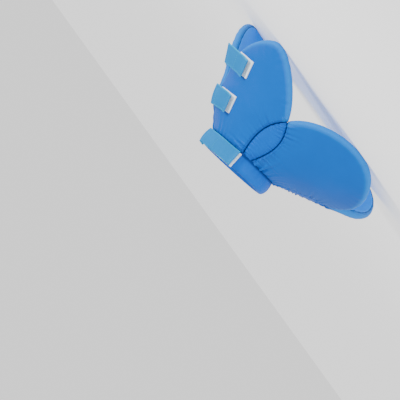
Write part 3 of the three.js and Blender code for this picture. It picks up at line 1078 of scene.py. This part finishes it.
# ---- straps
# Millimetres, except that LIFT_LENGTH, CLIMB_LENGTH, ROOT_PROBE, HOOK_MARGIN and LOOP_MARGIN are
# degrees of bearing. STRAP_DROP is how much nearer the skin the straps lie than in the CAD part.
STRAP_BASE = 1.5
STRAP_DROP = 1.3
WEBBING_THICKNESS = 1.5
PATCH_THICKNESS = 1.0
LAYER_GAP = 0.4
LIFT_LENGTH = 8.0
CLIMB_LENGTH = 12.0
END_CURL = 2.2
RIB_PITCH = 1.7
RIB_HEIGHT = 0.15
SELVAGE_HEIGHT = 0.2
SELVAGE_INSET = 0.7
SELVAGE_WIDTH = 0.45
STRAP_RIM_WIDTH = 1.0
EDGE_ROUNDING = 0.6
RIB_MARGIN = 1.2
RIB_FADE = 0.8
SAG = 0.18
SAG_LENGTH = 5.1
SAG_SLANT = 2.0
SAG_MARGIN = 6
ROOT_PROBE = 6.0
HOOK_MARGIN = 1
HOOK_TRIM = 2
TAPE_LAP = 0.1
LOOP_PILE = 0.25
LOOP_SUNK = -0.6
LOOP_MARGIN = 3
WEBBING_SEAM_INSET = 1.8
LOOP_SEAM_INSET = 1.2
TIP_SEAM = 2.4
ROOT_SEAMS = (1.4, 2.8)
STRAP_STITCH = {"length": 1.7, "gap": 0.8, "radius": 0.2}
STITCH_ROW_STEPS = 24
# Rows of points along the webbing, by whether the strap is on the band.
WEBBING_COUNT = {False: 208, True: 240}
WEBBING_ACROSS = 26
HOOK_GRID = (30, 16)
LOOP_GRID = (40, 20)


def strap_rise(strap, bearing):
    """Height of the webbing's underside above the skin."""
    climb = smooth((SLIT_BEARING + LIFT_LENGTH - bearing) / CLIMB_LENGTH)
    curl = smooth((strap["free"] + LIFT_LENGTH - bearing) / LIFT_LENGTH)
    layers = 2 * (PATCH_THICKNESS + LAYER_GAP)
    return STRAP_BASE - STRAP_DROP + climb * layers + curl * END_CURL


def strap_surface(strap):
    return band_face if strap["on_band"] else skin


def add_strip(name, material, strap, start, end, width, low, high, grid, ribs=0.0, bead=0.0):
    """A closed strip over the skin between two bearings. Low and high are heights above the skin for
    each bearing, ribs is the height of its crosswise ribs, and bead that of its selvages."""
    count, wide = grid
    t = np.linspace(0, 1, count)
    s = (1 - np.cos(np.linspace(0, math.pi, wide))) / 2
    bearing, across = np.meshgrid(start + (end - start) * t, s, indexing="ij")
    reach = strap["reach"] + (across - 0.5) * width
    surface = strap_surface(strap)
    ground = surface(bearing, reach)
    up = outward(surface, bearing, reach)
    steps = np.linalg.norm(np.diff(ground[:, wide // 2], axis=0), axis=1)
    along = np.concatenate([[0], np.cumsum(steps)])[:, None] + 0 * across
    from_side = np.minimum(across, 1 - across) * width
    from_end = np.minimum(along, along[-1, 0] - along)
    margin = np.minimum(from_side, from_end)
    body = (1 - (1 - np.clip(margin / EDGE_ROUNDING, 0, 1)) ** 2) ** 0.5
    middle = (low(bearing) + high(bearing)) / 2
    half = (high(bearing) - low(bearing)) / 2
    rib = ribs * np.cos(2 * math.pi * along / RIB_PITCH)
    rib = rib * smooth((from_side - RIB_MARGIN) / RIB_FADE)
    selvage = bead * bell(from_side - SELVAGE_INSET, SELVAGE_WIDTH)
    sag = SAG * np.sin(along / SAG_LENGTH + across * SAG_SLANT) * smooth(from_end / SAG_MARGIN)
    top = ground + up * (middle + sag + half * body + (rib + selvage) * body)[..., None]
    bottom = ground + up * (middle + sag - half * body - 0.5 * rib * body)[..., None]
    points, faces, inner = closed_pair(top, bottom)
    coordinates = with_inner(np.stack([along, across * width], axis=-1), inner)
    # Painted highlight along the strap's sides.
    rim_highlight = with_inner(bell(from_side, STRAP_RIM_WIDTH), inner)
    return add_mesh(name, points, faces, material, coordinates, {"rim_highlight": rim_highlight})


def sewn_lines(strap, lines, height, inset):
    """Stitches along lines, each between two pairs of bearing and share of the strap's width."""
    parts = []
    surface = strap_surface(strap)
    usable = strap["width"] - 2 * inset
    for (b0, s0), (b1, s1) in lines:
        t = np.linspace(0, 1, STITCH_ROW_STEPS)
        bearing = b0 + (b1 - b0) * t
        reach = strap["reach"] + ((s0 + (s1 - s0) * t) - 0.5) * usable
        up = outward(surface, bearing, reach)
        line = surface(bearing, reach) + up * height(bearing)[:, None]
        parts.append(stitches(line, up, **STRAP_STITCH))
    return joined(parts)


def crosswise(bearing):
    return (bearing, 0), (bearing, 1)


def lengthwise(first, last, share):
    return (first, share), (last, share)


def webbing_heights(strap, below, above):
    """Functions of bearing, for heights below and above the underside of the webbing."""
    return (
        lambda bearing: strap_rise(strap, bearing) - below,
        lambda bearing: strap_rise(strap, bearing) + above,
    )


def build_webbing(name, strap):
    low, high = webbing_heights(strap, 0, WEBBING_THICKNESS)
    root, free = strap["root"], strap["free"]
    grid = (WEBBING_COUNT[strap["on_band"]], WEBBING_ACROSS)
    sizes = (strap, root, free, strap["width"], low, high, grid, RIB_HEIGHT, SELVAGE_HEIGHT)
    webbing = add_strip(f"{name}_woven_webbing", webbing_cloth, *sizes)
    surface = strap_surface(strap)
    outer = standing(surface(root - ROOT_PROBE, strap["reach"]))
    inner = standing(surface(root, strap["reach"]))
    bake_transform(webbing)
    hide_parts(f"{name}_webbing")


def build_hook_tape(name, strap):
    low, high = webbing_heights(strap, PATCH_THICKNESS + TAPE_LAP, TAPE_LAP)
    inside, outside = strap["free"] + strap["patch"], strap["free"] + HOOK_MARGIN
    sizes = (strap, inside, outside, strap["width"] - HOOK_TRIM, low, high, HOOK_GRID)
    hook = add_strip(f"{name}_hook_tape", hook_mat, *sizes)
    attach(hook, name)
    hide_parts(f"{name}_hook_patch")


def loop_top(bearing):
    return STRAP_BASE + PATCH_THICKNESS - STRAP_DROP + LOOP_PILE + 0 * bearing


def build_loop_tape(name, strap):
    def low(bearing):
        return LOOP_SUNK + 0 * bearing

    inside, outside = strap["free"] + strap["patch"], strap["free"] - LOOP_MARGIN
    sizes = (strap, inside, outside, strap["width"], low, loop_top, LOOP_GRID)
    loop = add_strip(f"{name}_loop_tape", loop_mat, *sizes)
    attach(loop, "nape_right")
    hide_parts(f"{name}_loop_patch")


def build_strap_stitching(name, strap):
    """A box of stitches at the free end, two rows across the root, and a box round the loop tape."""

    def over_webbing(bearing):
        return strap_rise(strap, bearing) + WEBBING_THICKNESS + THREAD_LIFT

    def over_loop(bearing):
        return loop_top(bearing) + THREAD_LIFT

    mm = math.degrees(1 / skin_radius(max(strap["reach"], 0)))
    inside = strap["free"] + strap["patch"]
    tip = strap["free"] + TIP_SEAM * mm
    box = [crosswise(tip), crosswise(inside), lengthwise(tip, inside, 0), lengthwise(tip, inside, 1)]
    sewn = sewn_lines(strap, box, over_webbing, WEBBING_SEAM_INSET)
    tip_thread = add_mesh(f"{name}_free_end_stitching", *sewn, teal_thread)
    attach(tip_thread, name)
    rows = [crosswise(strap["root"] - row * mm) for row in ROOT_SEAMS]
    sewn = sewn_lines(strap, rows, over_webbing, WEBBING_SEAM_INSET)
    root_thread = add_mesh(f"{name}_root_stitching", *sewn, teal_thread)
    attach(root_thread, "nape_left")
    first = inside - LOOP_SEAM_INSET * mm
    last = strap["free"] - LOOP_MARGIN + LOOP_SEAM_INSET * mm
    sides = [lengthwise(first, last, 0), lengthwise(last, first, 1)]
    loop_box = [sides[0], crosswise(last), sides[1], crosswise(first)[::-1]]
    sewn = sewn_lines(strap, loop_box, over_loop, LOOP_SEAM_INSET)
    loop_thread = add_mesh(f"{name}_loop_stitching", *sewn, white_thread)
    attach(loop_thread, "nape_right")


for strap_name, strap_sizes in STRAPS.items():
    build_webbing(strap_name, strap_sizes)
    build_hook_tape(strap_name, strap_sizes)
    build_loop_tape(strap_name, strap_sizes)
    build_strap_stitching(strap_name, strap_sizes)


# ---- floor, light and camera
FLOOR_REACH = 12.0
FLOOR_GLOW = 0.35


def build_floor():
    mesh = bpy.data.meshes.new("floor")
    far = FLOOR_REACH
    corners = [(-far, -far, 0), (far, -far, 0), (far, far, 0), (-far, far, 0)]
    mesh.from_pydata(corners, [], [(0, 1, 2, 3)])
    floor = add_object("floor", mesh)
    grey = (0.92, 0.92, 0.92, 1)
    glow = {"Emission_Color": (1, 1, 1, 1), "Emission_Strength": FLOOR_GLOW}
    material, _ = new_material("pale_floor", Base_Color=grey, Roughness=0.9, **glow)
    mesh.materials.append(material)


def build_light(name, place, target, size, power):
    data = bpy.data.lights.new(name, "AREA")
    data.size = size
    data.energy = power
    light = add_object(name, data)
    light.location = place
    light.rotation_euler = (Vector(target) - Vector(place)).to_track_quat("-Z", "Y").to_euler()


def build_world(strength):
    world = bpy.data.worlds.new("studio")
    world.use_nodes = True
    background = world.node_tree.nodes["Background"]
    background.inputs["Color"].default_value = (1, 1, 1, 1)
    background.inputs["Strength"].default_value = strength
    bpy.context.scene.world = world


CAMERA_AZIMUTH = 8.561
CAMERA_ELEVATION = 3.381
CAMERA_ROLL = 36.537
CAMERA_DISTANCE = 4.0
CAMERA_LENS = 288.0
# How far the camera stands to the left of the neck seam's centre and below it, in the image. Metres.
CAMERA_ASIDE = 0.0527
CAMERA_BELOW = 0.0532


def build_camera():
    """The collar is seen from its right, a little above, and turned in the image as it was worn."""
    azimuth, elevation = math.radians(CAMERA_AZIMUTH), math.radians(CAMERA_ELEVATION)
    flat = math.cos(elevation)
    ahead = np.array([-math.sin(azimuth) * flat, math.cos(azimuth) * flat, -math.sin(elevation)])
    level = np.array([math.cos(azimuth), math.sin(azimuth), 0])
    upright = np.cross(level, ahead)
    roll = math.radians(CAMERA_ROLL + 90)
    right = level * math.cos(roll) - upright * math.sin(roll)
    up = level * math.sin(roll) + upright * math.cos(roll)
    right, up, ahead = (LEVEL @ v for v in (right, up, ahead))
    place = SEAM_CENTRE / 1000 - ahead * CAMERA_DISTANCE
    place = place - right * CAMERA_ASIDE - up * CAMERA_BELOW
    data = bpy.data.cameras.new("camera")
    data.sensor_width = 36.0
    data.lens = CAMERA_LENS
    data.clip_end = 50.0
    camera = add_object("camera", data)
    turned = Matrix([list(axis) for axis in (right, up, -ahead)]).transposed()
    camera.matrix_world = Matrix.Translation(Vector(place)) @ turned.to_4x4()
    bpy.context.scene.camera = camera


build_floor()
build_world(strength=1.2)
build_light("key", place=(2.0, -0.75, 0.5), target=(0.02, 0, 0.07), size=0.35, power=55)
build_light("fill", place=(-1.6, -1.6, 0.3), target=(0, 0, 0.05), size=1.0, power=38)
build_camera()
